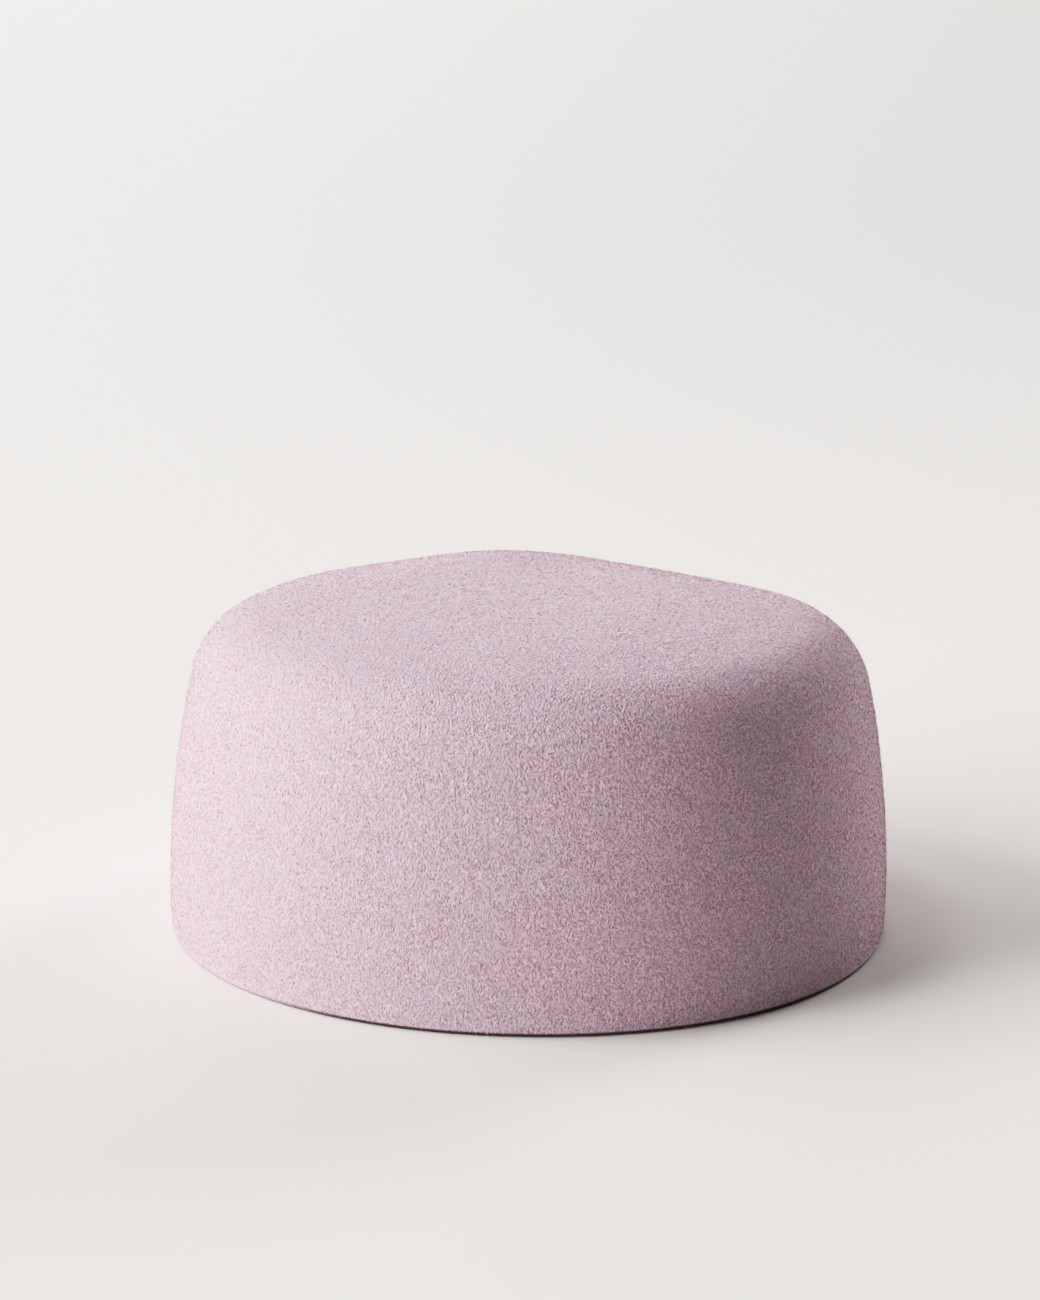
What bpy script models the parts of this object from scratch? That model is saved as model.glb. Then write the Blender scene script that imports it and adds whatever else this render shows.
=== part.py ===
"""A pillbox hat: one blocked wool-felt shell, open underneath, standing on its cut rim."""

import bpy
import numpy as np

# Outside sizes of the hat, in metres. X runs along the rim's long side, the front faces -Y.
RIM_LENGTH = 0.2000
RIM_WIDTH = 0.1720
HAT_HEIGHT = 0.0950

FELT_THICKNESS = 0.0024
WALL_LEAN = 0.0046  # how far the back and side wall has come in where the shoulder starts
FRONT_LEAN = 0.0115  # the same at the front, where the wall slopes back more
WALL_BELLY = 0.0024  # how far the wall swells past a straight line on the way up
SHOULDER_RADIUS = 0.0245
CROWN_RISE = 0.0061  # how far the middle of the crown stands above its edge
CROWN_SLANT = 0.0012  # how much lower the crown is at the right end than at the left
CROWN_TILT = 0.0050  # how much lower the crown is at the back than at the front
OUTER_EDGE_RADIUS = 0.0011
INNER_EDGE_RADIUS = 0.0005

PLAN_FULLNESS = 2.06  # 2 is an ellipse, more is squarer
CROWN_FULLNESS = 2.8  # 2 is an even dome, more is flatter with a rounder edge
# Shares of the half width, plus being the back, between which the front's lean comes in.
FRONT_START = 0.3
FRONT_FULL = -0.7

# Faces round the hat, and rows of faces up each run of the outer skin.
ROUND_STEPS = 96
EDGE_STEPS = 3
WALL_STEPS = 9
SHOULDER_STEPS = 9
CROWN_STEPS = 11
# The inside is plainer, so it has fewer rows.
INNER_WALL_STEPS = 6
INNER_SHOULDER_STEPS = 6
INNER_CROWN_STEPS = 8

# The blocked crown isn't even. Each row is a soft rise or hollow: its middle as shares of the
# half length and half width, its long and short reach as shares of the half length, the turn of
# its long side in degrees and its rise as a share of CROWN_RISE.
SWELLS = [
    # name, x, y, long, short, turn, rise
    ("back_ridge", -0.12, 0.62, 0.48, 0.30, 50, 0.33),
    ("back_right_hollow", 0.50, 0.62, 0.42, 0.28, -28, -0.24),
    ("left_hollow", -0.62, 0.30, 0.42, 0.20, 35, -0.07),
    ("middle_hollow", 0.05, 0.28, 0.40, 0.17, 12, -0.05),
]
# The swells are whole on the crown and gone by this share of the height.
SWELL_FADE = (0.55, 0.95)


def wall_line(lean):
    """Height of the wall, its slope at the top, and the shoulder's centre and last angle."""
    reach = (RIM_LENGTH + RIM_WIDTH) / 4
    wall_height = HAT_HEIGHT - CROWN_RISE - SHOULDER_RADIUS
    crown_angle = 0.0
    for _ in range(30):
        slope = np.arctan((lean + 4 * WALL_BELLY) / wall_height)
        centre_inset = lean + SHOULDER_RADIUS * np.cos(slope)
        crown_reach = reach - centre_inset + SHOULDER_RADIUS * np.sin(crown_angle)
        crown_angle = np.arctan(CROWN_FULLNESS * CROWN_RISE / crown_reach)
        centre_height = HAT_HEIGHT - CROWN_RISE - SHOULDER_RADIUS * np.cos(crown_angle)
        wall_height = centre_height + SHOULDER_RADIUS * np.sin(slope)
    return wall_height, slope, centre_inset, centre_height, crown_angle


def side_profile(lean, thickness, edge_radius, wall_steps, shoulder_steps):
    """Rows of inset and height from the rim to the crown's edge, set in by thickness."""
    wall_height, slope, centre_inset, centre_height, crown_angle = wall_line(lean)
    rows = []
    inside = thickness > 0
    for turn in np.linspace(0, np.pi / 2, EDGE_STEPS + 1)[:-1]:
        out = edge_radius * (1 - np.sin(turn))
        rows.append((thickness - out if inside else out, edge_radius * (1 - np.cos(turn))))
    for share in np.linspace(edge_radius / wall_height, 1, wall_steps + 1):
        inset = lean * share - 4 * WALL_BELLY * share * (1 - share)
        tilt = np.arctan((lean - 4 * WALL_BELLY * (1 - 2 * share)) / wall_height)
        rows.append(
            (inset + thickness * np.cos(tilt), wall_height * share - thickness * np.sin(tilt))
        )
    radius = SHOULDER_RADIUS - thickness
    for turn in np.linspace(slope, np.pi / 2 - crown_angle, shoulder_steps + 1)[1:]:
        rows.append((centre_inset - radius * np.cos(turn), centre_height + radius * np.sin(turn)))
    return rows


def ring(back_row, front_row, reach=1.0, top_height=HAT_HEIGHT):
    """One closed row of points round the plan, at this share of the way out from the middle."""
    angles = np.linspace(0, 2 * np.pi, ROUND_STEPS, endpoint=False)
    front = np.clip((FRONT_START - np.sin(angles)) / (FRONT_START - FRONT_FULL), 0, 1)
    front = front**2 * (3 - 2 * front)
    inset, height = (back + (ahead - back) * front for back, ahead in zip(back_row, front_row))
    height = height + (top_height - height) * (1 - reach**CROWN_FULLNESS)
    power = 2 / PLAN_FULLNESS
    x = np.sign(np.cos(angles)) * np.abs(np.cos(angles)) ** power
    y = np.sign(np.sin(angles)) * np.abs(np.sin(angles)) ** power
    half_length = (RIM_LENGTH / 2 - inset) * reach
    half_width = (RIM_WIDTH / 2 - inset) * reach
    return np.stack([half_length * x, half_width * y, height], axis=1)


def skin(thickness, edge_radius, wall_steps, shoulder_steps, crown_steps):
    """Rings of points up the wall and in over the crown, which ends in one middle point."""
    back, front = (
        side_profile(lean, thickness, edge_radius, wall_steps, shoulder_steps)
        for lean in (WALL_LEAN, FRONT_LEAN)
    )
    top_height = HAT_HEIGHT - thickness
    rings = [ring(back_row, front_row) for back_row, front_row in zip(back, front)]
    for reach in np.linspace(1, 0, crown_steps + 1)[1:-1]:
        rings.append(ring(back[-1], front[-1], reach, top_height))
    return rings, np.array([[0, 0, top_height]])


def lifted(points):
    """The points with the crown's slant, tilt and swells added to their heights."""
    x, y, z = points.T
    share = z / HAT_HEIGHT
    raised = z - (CROWN_SLANT * x / RIM_LENGTH + CROWN_TILT * y / RIM_WIDTH) * share
    fade = np.clip((share - SWELL_FADE[0]) / (SWELL_FADE[1] - SWELL_FADE[0]), 0, 1)
    fade = fade**2 * (3 - 2 * fade)
    for _name, x_share, y_share, long_share, short_share, turn, rise in SWELLS:
        angle = np.radians(turn)
        across = x - x_share * RIM_LENGTH / 2
        along = y - y_share * RIM_WIDTH / 2
        far = np.hypot(
            (across * np.cos(angle) + along * np.sin(angle)) / (long_share * RIM_LENGTH / 2),
            (along * np.cos(angle) - across * np.sin(angle)) / (short_share * RIM_LENGTH / 2),
        )
        raised = raised + rise * CROWN_RISE * fade * (1 - np.clip(far, 0, 1) ** 2) ** 2
    return np.stack([x, y, raised], axis=1)


def shell():
    """Points and faces of the felt: outer skin up, inner skin down, closed along the rim."""
    outer, outer_top = skin(0, OUTER_EDGE_RADIUS, WALL_STEPS, SHOULDER_STEPS, CROWN_STEPS)
    inner, inner_top = skin(
        FELT_THICKNESS, INNER_EDGE_RADIUS, INNER_WALL_STEPS, INNER_SHOULDER_STEPS, INNER_CROWN_STEPS
    )
    # From the middle of the inside, down to the rim, up the outside and in to its middle.
    rings = inner[::-1] + outer
    points = np.concatenate([inner_top] + rings + [outer_top])
    last = len(points) - 1
    faces = []
    for step in range(ROUND_STEPS):
        after = (step + 1) % ROUND_STEPS
        faces.append((0, 1 + after, 1 + step))
        for row in range(len(rings) - 1):
            low = 1 + row * ROUND_STEPS
            high = low + ROUND_STEPS
            faces.append((low + step, low + after, high + after, high + step))
        top = last - ROUND_STEPS
        faces.append((top + step, top + after, last))
    return lifted(points), faces


def felt_material():
    material = bpy.data.materials.new("lilac_wool_felt")
    material.use_nodes = True
    surface = material.node_tree.nodes["Principled BSDF"]
    surface.inputs["Base Color"].default_value = (0.60, 0.47, 0.53, 1)
    surface.inputs["Roughness"].default_value = 0.95
    surface.inputs["Sheen Weight"].default_value = 0.3
    return material


for item in list(bpy.data.objects):
    bpy.data.objects.remove(item, do_unlink=True)

points, faces = shell()
mesh = bpy.data.meshes.new("felt_body")
mesh.from_pydata(points.tolist(), [], faces)
mesh.materials.append(felt_material())
mesh.polygons.foreach_set("use_smooth", [True] * len(mesh.polygons))
mesh.update()
felt_body = bpy.data.objects.new("felt_body", mesh)
bpy.context.scene.collection.objects.link(felt_body)
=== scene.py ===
import math
import bpy
from mathutils import Matrix, Vector


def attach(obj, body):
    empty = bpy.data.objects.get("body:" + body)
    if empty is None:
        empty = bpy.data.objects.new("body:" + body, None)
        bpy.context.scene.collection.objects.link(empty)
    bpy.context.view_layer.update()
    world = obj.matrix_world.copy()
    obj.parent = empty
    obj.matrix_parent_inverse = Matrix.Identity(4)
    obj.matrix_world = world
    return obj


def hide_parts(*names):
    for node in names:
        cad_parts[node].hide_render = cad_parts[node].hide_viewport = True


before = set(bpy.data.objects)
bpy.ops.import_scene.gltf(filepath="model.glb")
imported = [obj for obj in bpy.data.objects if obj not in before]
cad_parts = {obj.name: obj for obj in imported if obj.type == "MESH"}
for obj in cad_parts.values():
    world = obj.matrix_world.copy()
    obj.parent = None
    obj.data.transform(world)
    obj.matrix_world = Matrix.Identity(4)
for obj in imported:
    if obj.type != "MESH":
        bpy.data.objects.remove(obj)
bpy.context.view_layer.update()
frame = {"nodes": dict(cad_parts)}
print("frame loaded:", ", ".join(frame["nodes"]))


# Camera, placed as the photograph was taken, in metres, degrees and pixels. The aim point stands
# over the middle of the rim.
cameraView = {
    "distance": 1.1,
    "azimuth": 2.18,
    "elevation": 19.71,
    "roll": 0.50,
    "aimHeight": 0.04,
    "focalPixels": 3933.2,
    "pictureSize": (1040, 1300),
    "aimPixel": (529.7, 783.1),
    "sensorWidth": 36,
    "clip": (0.05, 50),
}


def placeCamera(values):
    azimuth = math.radians(values["azimuth"])
    elevation = math.radians(values["elevation"])
    roll = math.radians(values["roll"])
    wide, high = values["pictureSize"]
    toAim = Vector((
        -math.sin(azimuth) * math.cos(elevation),
        math.cos(azimuth) * math.cos(elevation),
        -math.sin(elevation),
    ))
    place = Vector((0, 0, values["aimHeight"])) - values["distance"] * toAim
    # Turned a little off the aim, so that the aim lands on its own pixel.
    sideways = math.atan2(values["aimPixel"][0] - wide / 2, values["focalPixels"])
    downward = math.atan2(values["aimPixel"][1] - high / 2, values["focalPixels"])
    right = Vector((math.cos(azimuth), math.sin(azimuth), 0))
    up = right.cross(toAim)
    forward = toAim * math.cos(downward) + up * math.sin(downward)
    up = right.cross(forward)
    forward = forward * math.cos(sideways) - right * math.sin(sideways)
    right = forward.cross(up)
    right, up = (
        right * math.cos(roll) + up * math.sin(roll),
        up * math.cos(roll) - right * math.sin(roll),
    )
    data = bpy.data.cameras.new("photoCamera")
    data.sensor_width = values["sensorWidth"]
    data.lens = values["focalPixels"] * values["sensorWidth"] / max(wide, high)
    data.clip_start, data.clip_end = values["clip"]
    camera = bpy.data.objects.new("photoCamera", data)
    bpy.context.scene.collection.objects.link(camera)
    turned = Matrix((right, up, -forward)).transposed().to_4x4()
    camera.matrix_world = Matrix.Translation(place) @ turned
    bpy.context.scene.camera = camera


placeCamera(cameraView)
print("camera placed")


# Node helpers, shared by the shader and the geometry trees.
def newNode(tree, kind, **settings):
    node = tree.nodes.new(kind)
    for name, value in settings.items():
        setattr(node, name, value)
    return node


def feed(tree, socket, value):
    if isinstance(value, bpy.types.NodeSocket):
        tree.links.new(value, socket)
    else:
        socket.default_value = value


def maths(tree, operation, *values, clamp=False):
    node = newNode(tree, "ShaderNodeMath", operation=operation, use_clamp=clamp)
    for socket, value in zip(node.inputs, values):
        feed(tree, socket, value)
    return node.outputs[0]


def vectorMaths(tree, operation, *values):
    node = newNode(tree, "ShaderNodeVectorMath", operation=operation)
    for socket, value in zip(node.inputs, values):
        feed(tree, socket, value)
    return node.outputs[0]


def spread(tree, value, fromLow, fromHigh, toLow, toHigh, steps="LINEAR"):
    node = newNode(tree, "ShaderNodeMapRange", interpolation_type=steps)
    for socket, number in zip(node.inputs, (value, fromLow, fromHigh, toLow, toHigh)):
        feed(tree, socket, number)
    return node.outputs[0]


def noise(tree, place, scale, detail=2.0, roughness=0.5, distortion=0.0):
    node = newNode(tree, "ShaderNodeTexNoise", noise_dimensions="3D")
    for socket, value in (
        ("Vector", place), ("Scale", scale), ("Detail", detail), ("Roughness", roughness),
        ("Distortion", distortion),
    ):
        feed(tree, node.inputs[socket], value)
    return node.outputs["Fac"]


def cells(tree, place, scale):
    node = newNode(tree, "ShaderNodeTexVoronoi", voronoi_dimensions="3D", feature="F1")
    feed(tree, node.inputs["Vector"], place)
    feed(tree, node.inputs["Scale"], scale)
    return node.outputs["Distance"]


def mixColour(tree, share, first, second):
    node = newNode(tree, "ShaderNodeMix", data_type="RGBA")
    feed(tree, node.inputs[0], share)
    for socket, colour in ((node.inputs[6], first), (node.inputs[7], second)):
        feed(tree, socket, colour if isinstance(colour, bpy.types.NodeSocket) else (*colour, 1))
    return node.outputs[2]


def split(tree, place):
    node = newNode(tree, "ShaderNodeSeparateXYZ")
    feed(tree, node.inputs[0], place)
    return node.outputs


def joined(tree, **axes):
    node = newNode(tree, "ShaderNodeCombineXYZ")
    for axis, value in axes.items():
        feed(tree, node.inputs[axis], value)
    return node.outputs[0]


def position(tree):
    return newNode(tree, "GeometryNodeInputPosition").outputs[0]


def moved(tree, geometry, way, value):
    node = newNode(tree, "GeometryNodeSetPosition")
    feed(tree, node.inputs["Geometry"], geometry)
    feed(tree, node.inputs[way], value)
    return node.outputs[0]


def newSocket(tree, name, kind="NodeSocketFloat", value=None, way="INPUT"):
    socket = tree.interface.new_socket(name=name, in_out=way, socket_type=kind)
    if value is not None:
        socket.default_value = value
    return socket


# Felt grain, in millimetres: matted fibres in tufts with pits between them, over a slower
# mottling of the dye. The heights are shares of the finish's own relief.
feltGrain = {
    "Tuft Size": 0.68,
    "Pit Size": 0.70,
    "Fibre Size": 0.36,
    "Mottle Size": 8.0,
    "Tuft Height": 1.0,
    "Pit Depth": 0.45,
    "Fibre Height": 0.35,
}
# Detail, roughness and distortion of each noise.
grainNoises = {"Tuft": (1.5, 0.55, 0.35), "Fibre": (2.0, 0.6, 1.2), "Mottle": (3.0, 0.55, 0.2)}
pitReach = 0.5  # share of a cell over which its pit fades
tipRange = (0.30, 0.70)
mottleRange = (0.33, 0.67)
# Tufts are drawn out a little down the wall, as the felt was stretched over its block.
tuftStretch = (1.0, 1.0, 0.82)


def makeFeltGrainGroup(values):
    group = bpy.data.node_groups.new("feltGrain", "ShaderNodeTree")
    newSocket(group, "Place", "NodeSocketVector")
    for name, value in values.items():
        newSocket(group, name, value=value)
    for name in ("Height", "Tuft Mask", "Mottle Mask"):
        newSocket(group, name, way="OUTPUT")
    given = newNode(group, "NodeGroupInput").outputs
    result = newNode(group, "NodeGroupOutput")
    perMetre = {
        name: maths(group, "DIVIDE", 1000.0, given[name])
        for name in ("Tuft Size", "Pit Size", "Fibre Size", "Mottle Size")
    }
    stretched = vectorMaths(group, "MULTIPLY", given["Place"], tuftStretch)
    places = {"Tuft": stretched, "Fibre": given["Place"], "Mottle": given["Place"]}
    tufts, fibres, mottle = (
        noise(group, place, perMetre[kind + " Size"], *grainNoises[kind])
        for kind, place in places.items()
    )
    fromPit = cells(group, stretched, perMetre["Pit Size"])
    pits = spread(group, fromPit, 0.0, pitReach, 1.0, 0.0, "SMOOTHSTEP")
    height = maths(
        group, "ADD",
        maths(group, "MULTIPLY", tufts, given["Tuft Height"]),
        maths(group, "MULTIPLY", fibres, given["Fibre Height"]),
    )
    height = maths(group, "SUBTRACT", height, maths(group, "MULTIPLY", pits, given["Pit Depth"]))
    feed(group, result.inputs["Height"], height)
    tips = spread(group, tufts, *tipRange, 0.0, 1.0)
    feed(group, result.inputs["Tuft Mask"], maths(group, "SUBTRACT", tips, pits, clamp=True))
    feed(group, result.inputs["Mottle Mask"], spread(group, mottle, *mottleRange, 0.0, 1.0))
    return group


feltGrainGroup = makeFeltGrainGroup(feltGrain)

# Colours are linear. Pits lie deeper in the felt and hold less light, tips are the brushed nap,
# and the mottle is the dye's other tone. Bump is the relief in metres.
feltFinishes = {
    "brushedFelt": {
        "pit": (0.450, 0.312, 0.375), "tip": (0.770, 0.560, 0.645), "mottle": (0.565, 0.465, 0.560),
        "mottleShare": 0.50, "roughness": 0.95, "sheen": 0.18, "bump": 0.00045, "grain": {},
        "paintedEdgeShadow": True,
    },
    "insideFelt": {
        "pit": (0.420, 0.285, 0.345), "tip": (0.580, 0.415, 0.490), "mottle": (0.500, 0.370, 0.445),
        "mottleShare": 0.45, "roughness": 0.97, "sheen": 0.15, "bump": 0.00040,
        "grain": {"Tuft Size": 1.4, "Fibre Height": 0.6}, "paintedEdgeShadow": False,
    },
    "cutFelt": {
        "pit": (0.350, 0.235, 0.290), "tip": (0.560, 0.400, 0.470), "mottle": (0.460, 0.340, 0.405),
        "mottleShare": 0.30, "roughness": 0.98, "sheen": 0.12, "bump": 0.00025,
        "grain": {"Tuft Size": 0.6, "Fibre Size": 0.22, "Fibre Height": 0.8}, "paintedEdgeShadow": True,
    },
}
feltSurface = {
    "Specular IOR Level": 0.15,
    "Sheen Roughness": 0.45,
    "Sheen Tint": (0.95, 0.86, 0.91, 1),
}
# Painted contact shadow, near black, along the rim's outer edge, but not on its flat nor at its left
# end, which faces the lamps. In metres: heights where the painted shadow comes in and where it fades,
# and where it comes in from the left.
paintedEdgeShadow = {
    "colour": (0.050, 0.026, 0.030),
    "start": (0.00003, 0.00014),
    "end": (0.0008, 0.0015),
    "across": (-0.078, -0.040),
}
# Painted shade and light on the grain: its pits and tips get less contrast at the left end, which
# faces the lamps, and more at the right, in shade. Share of the grain's contrast, left and right.
grainShadeAcross = {"across": (-0.085, 0.045), "shares": (0.65, 1.70), "meanTuft": 0.36}


def makeFelt(name, finish):
    material = bpy.data.materials.new(name)
    material.use_nodes = True
    tree = material.node_tree
    surface = tree.nodes["Principled BSDF"]
    place = newNode(tree, "ShaderNodeTexCoord").outputs["Object"]
    grain = newNode(tree, "ShaderNodeGroup", node_tree=feltGrainGroup)
    feed(tree, grain.inputs["Place"], place)
    for socket, value in finish["grain"].items():
        grain.inputs[socket].default_value = value
    axes = split(tree, place)
    # Painted shade on the grain: deeper pits and lighter tips towards the shaded right end.
    grainShadeShare = spread(tree, axes["X"], *grainShadeAcross["across"], *grainShadeAcross["shares"], "SMOOTHSTEP")
    mean = grainShadeAcross["meanTuft"]
    tufts = maths(tree, "SUBTRACT", grain.outputs["Tuft Mask"], mean)
    tufts = maths(tree, "ADD", maths(tree, "MULTIPLY", tufts, grainShadeShare), mean, clamp=True)
    dyed = mixColour(tree, tufts, finish["pit"], finish["tip"])
    share = maths(tree, "MULTIPLY", grain.outputs["Mottle Mask"], finish["mottleShare"])
    colour = mixColour(tree, share, dyed, finish["mottle"])
    # Painted contact shadow at the rim's outer edge, faded out at the left end.
    if finish["paintedEdgeShadow"]:
        above = spread(tree, axes["Z"], *paintedEdgeShadow["end"], 0.0, 1.0, "SMOOTHSTEP")
        below = spread(tree, axes["Z"], *paintedEdgeShadow["start"], 1.0, 0.0)
        left = spread(tree, axes["X"], *paintedEdgeShadow["across"], 1.0, 0.0, "SMOOTHSTEP")
        outsideEdgeShadow = maths(tree, "MAXIMUM", maths(tree, "MAXIMUM", above, below), left)
        colour = mixColour(tree, outsideEdgeShadow, paintedEdgeShadow["colour"], colour)
    feed(tree, surface.inputs["Base Color"], colour)
    bump = newNode(tree, "ShaderNodeBump")
    bump.inputs["Strength"].default_value = 1.0
    bump.inputs["Distance"].default_value = finish["bump"]
    feed(tree, bump.inputs["Height"], grain.outputs["Height"])
    feed(tree, surface.inputs["Normal"], bump.outputs["Normal"])
    constants = {**feltSurface, "Roughness": finish["roughness"], "Sheen Weight": finish["sheen"]}
    for socket, value in constants.items():
        surface.inputs[socket].default_value = value
    return material


fibreColours = {"paleFibre": (0.790, 0.600, 0.680), "deepFibre": (0.420, 0.290, 0.350)}
fibreRoughness = 0.9


def makeFibreMaterial(name, colour):
    material = bpy.data.materials.new(name)
    material.use_nodes = True
    surface = material.node_tree.nodes["Principled BSDF"]
    for socket, value in (
        ("Base Color", (*colour, 1)), ("Roughness", fibreRoughness),
        ("Specular IOR Level", feltSurface["Specular IOR Level"]),
    ):
        surface.inputs[socket].default_value = value
    return material


feltMaterials = {name: makeFelt(name, finish) for name, finish in feltFinishes.items()}
for name, colour in fibreColours.items():
    feltMaterials[name] = makeFibreMaterial(name, colour)
print("felt materials made:", len(feltMaterials))


# The hat's form, in metres and shares: the sizes that its solid was made from.
hatForm = {
    "Rim Length": 0.2000,
    "Rim Width": 0.1720,
    "Hat Height": 0.0950,
    "Plan Fullness": 2.06,
    "Front Start": 0.3,
    "Front Full": -0.7,
    "Crown Slant": 0.0012,
    "Crown Tilt": 0.0050,
    "Fade Low": 0.55,
    "Fade High": 0.95,
}
hatProfile = {
    "feltThickness": 0.0024,
    "wallLean": 0.0046,
    "frontLean": 0.0115,
    "wallBelly": 0.0024,
    "shoulderRadius": 0.0245,
    "crownRise": 0.0061,
    "crownFullness": 2.8,
    "outerEdgeRadius": 0.0011,
    "innerEdgeRadius": 0.0005,
    "settleRounds": 30,
    "outsideRows": {"edge": 4, "wall": 58, "shoulder": 22, "crown": 54},
    "insideRows": {"edge": 3, "wall": 22, "shoulder": 10, "crown": 22},
}
# Soft rises and hollows of the crown: middle as shares of the half length and half width, long
# and short reach as shares of the half length, turn in degrees, rise as a share of crownRise.
crownSwells = {
    "backRidge": (-0.12, 0.62, 0.48, 0.30, 50, 0.33),
    "backRightHollow": (0.50, 0.62, 0.42, 0.28, -28, -0.24),
    "leftHollow": (-0.62, 0.30, 0.42, 0.20, 35, -0.07),
    "middleHollow": (0.05, 0.28, 0.40, 0.17, 12, -0.05),
}
roundSteps = 456
mergeDistance = 0.000004


def wallLine(form, profile, lean):
    # The wall's height and slope, and the shoulder's centre and last angle. Each depends on the
    # others, so they are worked out by turns until they settle.
    reach = (form["Rim Length"] + form["Rim Width"]) / 4
    radius = profile["shoulderRadius"]
    wallHeight = form["Hat Height"] - profile["crownRise"] - radius
    crownAngle = 0.0
    for _ in range(profile["settleRounds"]):
        slope = math.atan((lean + 4 * profile["wallBelly"]) / wallHeight)
        centreInset = lean + radius * math.cos(slope)
        crownReach = reach - centreInset + radius * math.sin(crownAngle)
        crownAngle = math.atan(profile["crownFullness"] * profile["crownRise"] / crownReach)
        centreHeight = form["Hat Height"] - profile["crownRise"] - radius * math.cos(crownAngle)
        wallHeight = centreHeight + radius * math.sin(slope)
    return wallHeight, slope, centreInset, centreHeight, crownAngle


def skinRows(form, profile, lean, thickness, edgeRadius, rows):
    # Each row is its inset from the rim, its share of the way out from the crown's middle, and
    # its height, from the rim up the wall, round the shoulder and in over the crown.
    wallHeight, slope, centreInset, centreHeight, crownAngle = wallLine(form, profile, lean)
    found = []
    for step in range(rows["edge"]):
        turn = math.pi / 2 * step / rows["edge"]
        out = edgeRadius * (1 - math.sin(turn))
        found.append((thickness - out if thickness else out, 1, edgeRadius * (1 - math.cos(turn))))
    start = edgeRadius / wallHeight
    for step in range(rows["wall"] + 1):
        share = start + (1 - start) * step / rows["wall"]
        belly = profile["wallBelly"]
        inset = lean * share - 4 * belly * share * (1 - share)
        tilt = math.atan((lean - 4 * belly * (1 - 2 * share)) / wallHeight)
        found.append((
            inset + thickness * math.cos(tilt),
            1,
            wallHeight * share - thickness * math.sin(tilt),
        ))
    radius = profile["shoulderRadius"] - thickness
    for step in range(1, rows["shoulder"] + 1):
        turn = slope + (math.pi / 2 - crownAngle - slope) * step / rows["shoulder"]
        found.append((
            centreInset - radius * math.cos(turn), 1, centreHeight + radius * math.sin(turn)
        ))
    edgeInset, _, edgeHeight = found[-1]
    topHeight = form["Hat Height"] - thickness
    for step in range(1, rows["crown"] + 1):
        share = 1 - step / rows["crown"]
        rise = (topHeight - edgeHeight) * (1 - share ** profile["crownFullness"])
        found.append((edgeInset, share, edgeHeight + rise))
    return found


def dressed(tree, geometry, name, chosen):
    node = newNode(tree, "GeometryNodeSetMaterial")
    node.inputs["Material"].default_value = feltMaterials[name]
    feed(tree, node.inputs["Geometry"], geometry)
    feed(tree, node.inputs["Selection"], chosen)
    return node.outputs[0]


def newGeometryTree(name):
    tree = bpy.data.node_groups.new(name, "GeometryNodeTree")
    tree.is_modifier = True
    newSocket(tree, "Geometry", "NodeSocketGeometry")
    newSocket(tree, "Geometry", "NodeSocketGeometry", way="OUTPUT")
    return tree


def makeSwellGroup():
    # How much one soft swell lifts the point at X and Y, in metres.
    group = bpy.data.node_groups.new("softSwell", "GeometryNodeTree")
    for name in ("X", "Y", "Middle X", "Middle Y", "Long Reach", "Short Reach", "Turn", "Rise"):
        newSocket(group, name)
    newSocket(group, "Lift", way="OUTPUT")
    given = newNode(group, "NodeGroupInput").outputs
    result = newNode(group, "NodeGroupOutput")
    across = maths(group, "SUBTRACT", given["X"], given["Middle X"])
    along = maths(group, "SUBTRACT", given["Y"], given["Middle Y"])
    cosine = maths(group, "COSINE", given["Turn"])
    sine = maths(group, "SINE", given["Turn"])
    square = None
    for operation, first, second, reach in (
        ("ADD", across, along, "Long Reach"), ("SUBTRACT", along, across, "Short Reach"),
    ):
        far = maths(
            group, operation,
            maths(group, "MULTIPLY", first, cosine), maths(group, "MULTIPLY", second, sine),
        )
        far = maths(group, "DIVIDE", far, given[reach])
        far = maths(group, "MULTIPLY", far, far)
        square = far if square is None else maths(group, "ADD", square, far)
    near = maths(group, "SUBTRACT", 1.0, square, clamp=True)
    feed(group, result.inputs["Lift"], maths(
        group, "MULTIPLY", maths(group, "MULTIPLY", near, near), given["Rise"]
    ))
    return group


def signedPower(tree, value, power):
    size = maths(tree, "POWER", maths(tree, "ABSOLUTE", value), power)
    return maths(tree, "MULTIPLY", maths(tree, "SIGN", value), size)


# Unevenness of the blocked felt, in metres: slow waves of the form, then lumps and tufts.
feltUnevenness = {
    "Wave Size": 0.034,
    "Wave Depth": 0.00045,
    "Lump Size": 0.0075,
    "Lump Depth": 0.00012,
    "Tuft Size": 0.0036,
    "Tuft Depth": 0.00006,
}
unevenDetail = {"Wave": 1.0, "Lump": 2.0, "Tuft": 1.0}  # detail of each one's noise
unevenFrom = (0.0002, 0.0060)  # heights between which it comes in, clear of the rim's flat


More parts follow.
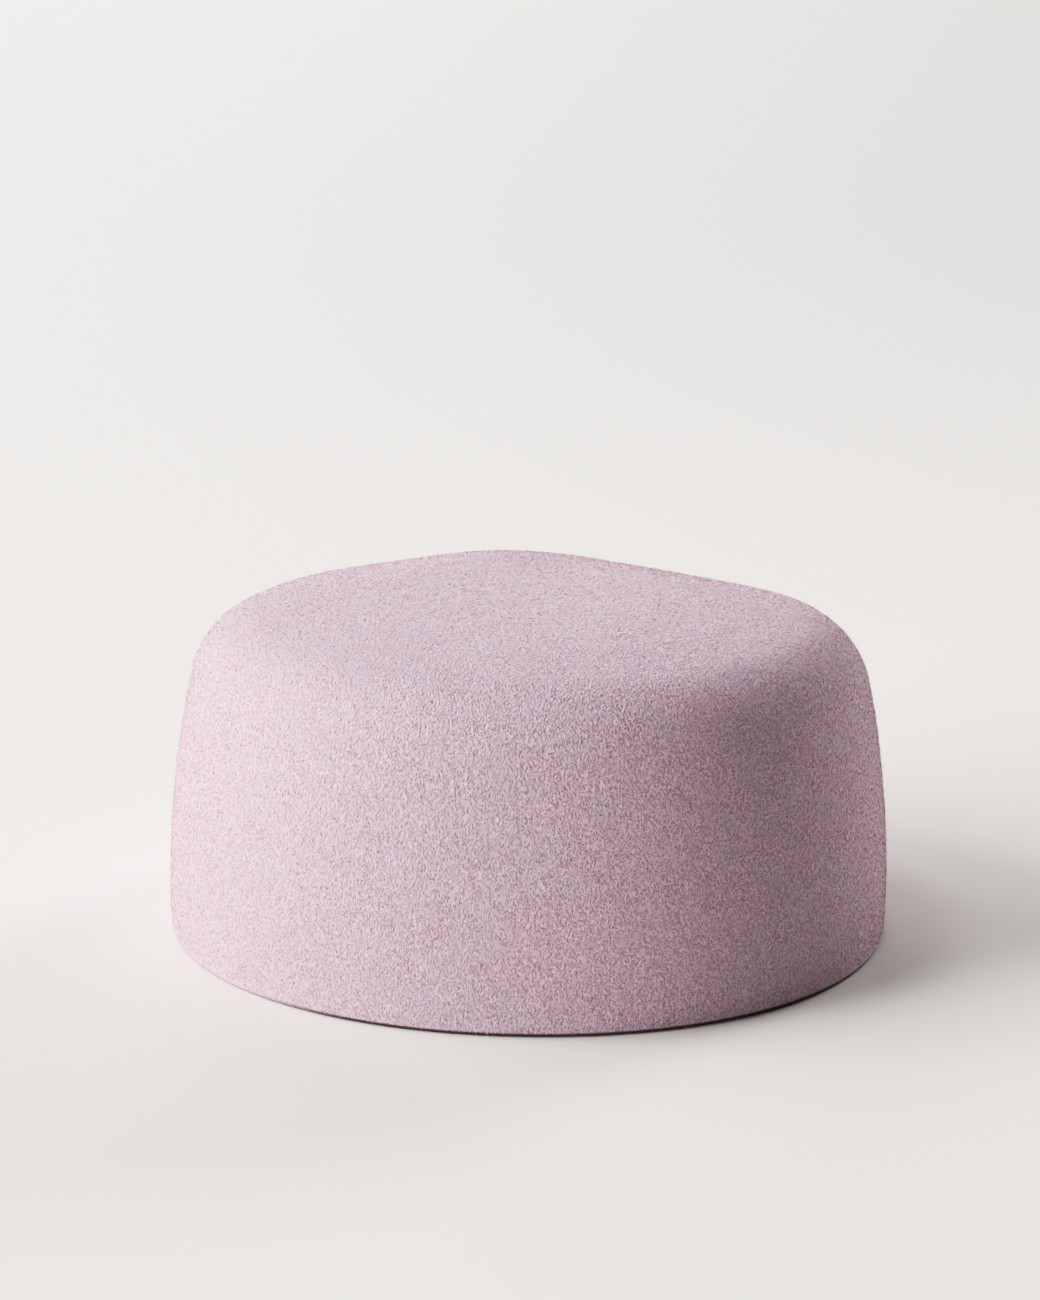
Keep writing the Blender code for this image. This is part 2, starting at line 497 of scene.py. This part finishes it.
def makeHatTree(form, uneven, rowCount, insideCount, edgeCount):
    tree = newGeometryTree("blockedFeltForm")
    for name, value in {**form, **uneven}.items():
        newSocket(tree, name, value=value)
    given = newNode(tree, "NodeGroupInput").outputs
    grid = newNode(tree, "GeometryNodeMeshGrid")
    for name, value in (
        ("Size X", 1.0), ("Size Y", 1.0), ("Vertices X", roundSteps + 1), ("Vertices Y", rowCount),
    ):
        grid.inputs[name].default_value = value
    # The flat grid runs from -0.5 to 0.5 along X, round the plan, and along Y, through the rows.
    flat = split(tree, position(tree))
    row = maths(tree, "MULTIPLY", maths(tree, "ADD", flat["Y"], 0.5), float(rowCount - 1))

    # The three finishes follow the rows: inside, cut edge, outside. Each takes the faces past the
    # last row of the one before.
    finished = grid.outputs["Mesh"]
    for name, lastRow in (
        ("insideFelt", -1.0), ("cutFelt", insideCount - 1.0), ("brushedFelt", edgeCount - 1.0),
    ):
        finished = dressed(tree, finished, name, maths(tree, "GREATER_THAN", row, lastRow))

    # The start mesh holds the back's profile and then the front's, which blend round the plan.
    angle = maths(tree, "MULTIPLY", maths(tree, "ADD", flat["X"], 0.5), 2 * math.pi)
    front = spread(
        tree, maths(tree, "SINE", angle), given["Front Start"], given["Front Full"], 0.0, 1.0,
        "SMOOTHSTEP",
    )
    sides = []
    for firstRow in (0.0, float(rowCount)):
        profilePoint = newNode(
            tree, "GeometryNodeSampleIndex", data_type="FLOAT_VECTOR", domain="POINT"
        )
        index = maths(tree, "ADD", maths(tree, "ROUND", row), firstRow)
        for socket, value in (
            ("Geometry", given["Geometry"]), ("Value", position(tree)), ("Index", index),
        ):
            feed(tree, profilePoint.inputs[socket], value)
        sides.append(profilePoint.outputs[0])
    blended = newNode(tree, "ShaderNodeMix", data_type="VECTOR")
    for socket, value in zip((0, 4, 5), (front, *sides)):
        feed(tree, blended.inputs[socket], value)
    profile = split(tree, blended.outputs[1])

    power = maths(tree, "DIVIDE", 2.0, given["Plan Fullness"])
    plan = {}
    for axis, side, turn in (("X", "Rim Length", "COSINE"), ("Y", "Rim Width", "SINE")):
        half = maths(tree, "SUBTRACT", maths(tree, "MULTIPLY", given[side], 0.5), profile["X"])
        out = maths(tree, "MULTIPLY", half, profile["Y"])
        plan[axis] = maths(tree, "MULTIPLY", out, signedPower(tree, maths(tree, turn, angle), power))

    height = profile["Z"]
    share = maths(tree, "DIVIDE", height, given["Hat Height"])
    fade = spread(tree, share, given["Fade Low"], given["Fade High"], 0.0, 1.0, "SMOOTHSTEP")
    halfLength, halfWidth = form["Rim Length"] / 2, form["Rim Width"] / 2
    swellGroup = makeSwellGroup()
    lift = None
    for name, (x, y, long, short, turn, rise) in crownSwells.items():
        swell = newNode(tree, "GeometryNodeGroup", node_tree=swellGroup, label=name)
        for socket, value in (
            ("X", plan["X"]), ("Y", plan["Y"]),
            ("Middle X", x * halfLength), ("Middle Y", y * halfWidth),
            ("Long Reach", long * halfLength), ("Short Reach", short * halfLength),
            ("Turn", math.radians(turn)), ("Rise", rise * hatProfile["crownRise"]),
        ):
            feed(tree, swell.inputs[socket], value)
        lift = swell.outputs[0] if lift is None else maths(tree, "ADD", lift, swell.outputs[0])
    raised = maths(tree, "ADD", height, maths(tree, "MULTIPLY", lift, fade))
    for fall, axis, side in (("Crown Slant", "X", "Rim Length"), ("Crown Tilt", "Y", "Rim Width")):
        lowered = maths(tree, "DIVIDE", maths(tree, "MULTIPLY", given[fall], plan[axis]), given[side])
        raised = maths(tree, "SUBTRACT", raised, maths(tree, "MULTIPLY", lowered, share))
    placed = moved(tree, finished, "Position", joined(tree, X=plan["X"], Y=plan["Y"], Z=raised))
    closed = newNode(tree, "GeometryNodeMergeByDistance")
    feed(tree, closed.inputs["Geometry"], placed)
    closed.inputs["Distance"].default_value = mergeDistance

    # The felt's own unevenness, none of it at the rim's flat, so that the hat still stands true.
    place = position(tree)
    unevenness = None
    for kind, detail in unevenDetail.items():
        pattern = noise(tree, place, maths(tree, "DIVIDE", 1.0, given[kind + " Size"]), detail)
        depth = maths(tree, "MULTIPLY", maths(tree, "SUBTRACT", pattern, 0.5), given[kind + " Depth"])
        unevenness = depth if unevenness is None else maths(tree, "ADD", unevenness, depth)
    clearOfRim = spread(tree, split(tree, place)["Z"], *unevenFrom, 0.0, 1.0, "SMOOTHSTEP")
    push = vectorMaths(tree, "SCALE", newNode(tree, "GeometryNodeInputNormal").outputs[0])
    feed(tree, push.node.inputs["Scale"], maths(tree, "MULTIPLY", unevenness, clearOfRim))
    smooth = newNode(tree, "GeometryNodeSetShadeSmooth")
    feed(tree, smooth.inputs["Geometry"], moved(tree, closed.outputs[0], "Offset", push))
    feed(tree, newNode(tree, "NodeGroupOutput").inputs[0], smooth.outputs[0])
    return tree


def grown(name, startMesh, tree, values):
    # The tree's result as a plain mesh object, with nothing live left on it.
    start = bpy.data.objects.new(name + "Start", startMesh)
    bpy.context.scene.collection.objects.link(start)
    modifier = start.modifiers.new(name, "NODES")
    modifier.node_group = tree
    for item in tree.interface.items_tree:
        if item.in_out == "INPUT" and item.name in values:
            modifier[item.identifier] = values[item.name]
    bpy.context.view_layer.update()
    evaluated = start.evaluated_get(bpy.context.evaluated_depsgraph_get())
    mesh = bpy.data.meshes.new_from_object(evaluated)
    mesh.name = name
    start.modifiers.remove(modifier)
    bpy.data.objects.remove(start)
    piece = bpy.data.objects.new(name, mesh)
    bpy.context.scene.collection.objects.link(piece)
    return piece


def makeFeltShell():
    rows = []
    for lean in (hatProfile["wallLean"], hatProfile["frontLean"]):
        outside = skinRows(
            hatForm, hatProfile, lean, 0.0, hatProfile["outerEdgeRadius"], hatProfile["outsideRows"]
        )
        inside = skinRows(
            hatForm, hatProfile, lean, hatProfile["feltThickness"],
            hatProfile["innerEdgeRadius"], hatProfile["insideRows"],
        )
        rows += inside[::-1] + outside
    profileMesh = bpy.data.meshes.new("hatProfile")
    profileMesh.from_pydata(rows, [], [])
    insideCount = len(inside)
    edgeCount = insideCount + hatProfile["outsideRows"]["edge"]
    tree = makeHatTree(hatForm, feltUnevenness, len(inside) + len(outside), insideCount, edgeCount)
    return grown("feltShell", profileMesh, tree, {**hatForm, **feltUnevenness})


feltShell = makeFeltShell()
print("felt shell:", len(feltShell.data.polygons), "faces")

# Nap, in metres and degrees: short straight fibres matted almost flat, and longer loose ones.
# Each layer covers the outside between two heights, on one side of the hat. Lowest and Highest
# are how far its fibres lean, and Thickness is their half width at the root.
shortFibres = {
    "Length": 0.0009, "Thickness": 0.000085, "Lowest": 60.0, "Highest": 85.0, "bends": 1,
}
napLayers = {
    "crownNap": {
        "Low": 0.0760, "High": 1.0, "Back": -1.0, "Front": 1.0, "Density": 1.70e6, "Seed": 11,
        **shortFibres,
    },
    "frontNap": {
        "Low": 0.0017, "High": 0.0760, "Back": -1.0, "Front": 0.0, "Density": 1.90e6, "Seed": 12,
        **shortFibres,
    },
    "backNap": {
        "Low": 0.0017, "High": 0.0760, "Back": 0.0, "Front": 1.0, "Density": 1.90e6, "Seed": 13,
        **shortFibres,
    },
    "looseFibres": {
        "Low": 0.0032, "High": 1.0, "Back": -1.0, "Front": 1.0, "Density": 0.060e6, "Seed": 14,
        "Length": 0.0026, "Thickness": 0.000022, "Lowest": 25.0, "Highest": 82.0, "bends": 4,
    },
}
fibreSides = 3
fibreCurl = 14.0  # how far a loose fibre's tip bows over, in its own half widths
paleShare = 0.5
rootDepth = 0.00003
# Shares of the layer's own thickness and length between which its fibres vary.
thicknessShares = (0.7, 1.3)
lengthShares = (0.55, 1.35)


def makeNapTree(name, bends):
    tree = newGeometryTree(name)
    for socket in (
        "Low", "High", "Back", "Front", "Density", "Length", "Thickness", "Lowest", "Highest",
    ):
        newSocket(tree, socket, value=0.0)
    newSocket(tree, "Seed", "NodeSocketInt", 0)
    given = newNode(tree, "NodeGroupInput").outputs
    place = split(tree, position(tree))
    outside = newNode(tree, "GeometryNodeMaterialSelection")
    outside.inputs["Material"].default_value = feltMaterials["brushedFelt"]
    chosen = outside.outputs[0]
    for operation, value, limit in (
        ("GREATER_THAN", place["Z"], given["Low"]), ("LESS_THAN", place["Z"], given["High"]),
        ("GREATER_THAN", place["Y"], given["Back"]), ("LESS_THAN", place["Y"], given["Front"]),
    ):
        chosen = maths(tree, "MULTIPLY", chosen, maths(tree, operation, value, limit))
    roots = newNode(tree, "GeometryNodeDistributePointsOnFaces", distribute_method="RANDOM")
    for socket, value in (
        ("Mesh", given["Geometry"]), ("Selection", chosen), ("Density", given["Density"]),
        ("Seed", given["Seed"]),
    ):
        feed(tree, roots.inputs[socket], value)
    inward = vectorMaths(tree, "MULTIPLY", roots.outputs["Normal"], (-rootDepth,) * 3)
    sunk = moved(tree, roots.outputs["Points"], "Offset", inward)

    # One fibre at unit size. Those with several bends curl over as they rise.
    fibre = newNode(tree, "GeometryNodeMeshCone", fill_type="NGON")
    for socket, value in (
        ("Vertices", fibreSides), ("Side Segments", bends), ("Radius Top", 0.0),
        ("Radius Bottom", 1.0), ("Depth", 1.0),
    ):
        fibre.inputs[socket].default_value = value
    fibreShape = fibre.outputs["Mesh"]
    if bends > 1:
        rise = split(tree, position(tree))["Z"]
        bow = maths(tree, "MULTIPLY", maths(tree, "MULTIPLY", rise, rise), fibreCurl)
        fibreShape = moved(tree, fibreShape, "Offset", joined(tree, X=bow))

    # A number drawn for each fibre. Each draw has its own offset from the layer's seed.
    def chance(low, high, offset):
        node = newNode(tree, "FunctionNodeRandomValue", data_type="FLOAT")
        feed(tree, node.inputs[2], low)
        feed(tree, node.inputs[3], high)
        feed(tree, node.inputs["Seed"], maths(tree, "ADD", given["Seed"], float(offset)))
        return node.outputs[1]

    thick = maths(tree, "MULTIPLY", given["Thickness"], chance(*thicknessShares, 1))
    long = maths(tree, "MULTIPLY", given["Length"], chance(*lengthShares, 2))
    planted = newNode(tree, "GeometryNodeInstanceOnPoints")
    for socket, value in (
        ("Points", sunk), ("Instance", fibreShape), ("Rotation", roots.outputs["Rotation"]),
        ("Scale", joined(tree, X=thick, Y=thick, Z=long)),
    ):
        feed(tree, planted.inputs[socket], value)
    lean = chance(given["Lowest"], given["Highest"], 3)
    lean = maths(tree, "MULTIPLY", lean, math.pi / 180)
    turned = newNode(tree, "GeometryNodeRotateInstances")
    feed(tree, turned.inputs["Instances"], planted.outputs[0])
    feed(tree, turned.inputs["Rotation"], joined(tree, X=lean, Z=chance(0.0, 2 * math.pi, 4)))
    real = newNode(tree, "GeometryNodeRealizeInstances")
    feed(tree, real.inputs["Geometry"], turned.outputs[0])

    # Whole fibres are pale or deep in colour. A face's place in the list tells whose it is.
    facesEach = float(fibreSides * bends + 1)
    face = maths(tree, "ADD", newNode(tree, "GeometryNodeInputIndex").outputs[0], 0.5)
    fibreNumber = maths(tree, "FLOOR", maths(tree, "DIVIDE", face, facesEach))
    picked = chance(0.0, 1.0, 5)
    feed(tree, picked.node.inputs["ID"], fibreNumber)
    coloured = real.outputs[0]
    for name, share in (("paleFibre", -1.0), ("deepFibre", paleShare)):
        coloured = dressed(tree, coloured, name, maths(tree, "GREATER_THAN", picked, share))
    feed(tree, newNode(tree, "NodeGroupOutput").inputs[0], coloured)
    return tree


def makeNap(shell, layers):
    trees = {}
    pieces = []
    for name, values in layers.items():
        bends = values["bends"]
        if bends not in trees:
            trees[bends] = makeNapTree("napFibres%d" % bends, bends)
        piece = grown(name, shell.data.copy(), trees[bends], values)
        print(name + ":", len(piece.data.polygons), "faces")
        pieces.append(piece)
    return pieces


napPieces = makeNap(feltShell, napLayers)
for piece in [feltShell] + napPieces:
    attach(piece, "root")
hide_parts("felt_body")


# Floor and backdrop: one pale sweep, in metres, with painted shade: its colour turns darker and
# cooler far behind the hat, and more so to its right.
sweep = {
    "halfWidth": 9.0,
    "front": -9.0,
    "bend": 8.0,
    "bendRadius": 2.0,
    "bendSteps": 24,
    "top": 8.0,
    "roughness": 0.9,
    "specular": 0.1,
    "colour": (0.760, 0.727, 0.705),
    "farLeftShade": (0.700, 0.690, 0.680),
    "farRightShade": (0.570, 0.565, 0.560),
    "leftToRight": (-0.40, 0.45),
    "nearToFar": (0.10, 1.10),
}


def makeSweep(values):
    line = [(values["front"], 0.0)]
    for step in range(values["bendSteps"] + 1):
        turn = math.pi / 2 * step / values["bendSteps"]
        line.append((
            values["bend"] + values["bendRadius"] * math.sin(turn),
            values["bendRadius"] * (1 - math.cos(turn)),
        ))
    line.append((values["bend"] + values["bendRadius"], values["top"]))
    side = values["halfWidth"]
    points = [(x, y, z) for y, z in line for x in (-side, side)]
    faces = [(low, low + 1, low + 3, low + 2) for low in range(0, len(points) - 2, 2)]
    mesh = bpy.data.meshes.new("studioSweep")
    mesh.from_pydata(points, [], faces)
    mesh.polygons.foreach_set("use_smooth", [True] * len(faces))
    material = bpy.data.materials.new("paleSweep")
    material.use_nodes = True
    tree = material.node_tree
    surface = tree.nodes["Principled BSDF"]
    axes = split(tree, newNode(tree, "ShaderNodeTexCoord").outputs["Object"])
    across = spread(tree, axes["X"], *values["leftToRight"], 0.0, 1.0, "SMOOTHSTEP")
    far = spread(tree, axes["Y"], *values["nearToFar"], 0.0, 1.0, "SMOOTHSTEP")
    # Painted shade far behind the hat, deeper to its right.
    farShadeColour = mixColour(tree, across, values["farLeftShade"], values["farRightShade"])
    feed(tree, surface.inputs["Base Color"], mixColour(tree, far, values["colour"], farShadeColour))
    surface.inputs["Roughness"].default_value = values["roughness"]
    surface.inputs["Specular IOR Level"].default_value = values["specular"]
    mesh.materials.append(material)
    piece = bpy.data.objects.new("studioSweep", mesh)
    bpy.context.scene.collection.objects.link(piece)


makeSweep(sweep)
print("sweep made")


# Soft studio light in degrees, metres and watts: broad discs low and high on the left, one low
# behind, a small one above and one on the right behind, in a dim room.
studioLights = {
    "keyLow": {"azimuth": -62, "elevation": 12, "size": 3.2, "power": 358},
    "keySide": {"azimuth": -82, "elevation": 35, "size": 4.0, "power": 345},
    "keyBack": {"azimuth": -112, "elevation": 35, "size": 4.0, "power": 165},
    "backLow": {"azimuth": -165, "elevation": 18, "size": 4.0, "power": 140},
    "topLight": {"azimuth": -110, "elevation": 68, "size": 1.6, "power": 62},
    "rightFill": {"azimuth": 138, "elevation": 20, "size": 2.5, "power": 268},
}
lightDistance = 6.0
lightAim = Vector((0, 0, 0.05))
lightColour = (1.0, 0.985, 0.965)
roomLight = {"colour": (0.98, 0.99, 1.0), "strength": 0.07}

# The photograph's tone: scene light against shown light, which rolls off towards white.
toneCurve = (
    (0, 0), (0.12, 0.10), (0.40, 0.40), (0.66, 0.60),
    (0.85, 0.70), (1.07, 0.80), (1.36, 0.90), (1.70, 1),
)


def makeLights(lights, room):
    for name, values in lights.items():
        data = bpy.data.lights.new(name, "AREA")
        data.shape = "DISK"
        data.size = values["size"]
        data.energy = values["power"]
        data.color = lightColour
        azimuth = math.radians(values["azimuth"])
        elevation = math.radians(values["elevation"])
        # Azimuth 0 is the camera's side, 90 the hat's right.
        away = Vector((
            math.sin(azimuth) * math.cos(elevation),
            -math.cos(azimuth) * math.cos(elevation),
            math.sin(elevation),
        ))
        light = bpy.data.objects.new(name, data)
        bpy.context.scene.collection.objects.link(light)
        light.matrix_world = (
            Matrix.Translation(away * lightDistance + lightAim)
            @ away.to_track_quat("Z", "Y").to_matrix().to_4x4()
        )
    world = bpy.data.worlds.new("studioRoom")
    world.use_nodes = True
    background = world.node_tree.nodes["Background"]
    background.inputs["Color"].default_value = (*room["colour"], 1)
    background.inputs["Strength"].default_value = room["strength"]
    bpy.context.scene.world = world


def setTone(points):
    view = bpy.context.scene.view_settings
    view.view_transform = "Standard"
    view.use_curve_mapping = True
    white = points[-1][0]
    curve = view.curve_mapping.curves[3]  # the one for all three colours together
    for light, shown in points[1:-1]:
        curve.points.new(light / white, shown)
    view.curve_mapping.white_level = (white, white, white)
    view.curve_mapping.update()


makeLights(studioLights, roomLight)
setTone(toneCurve)
print("lights made")
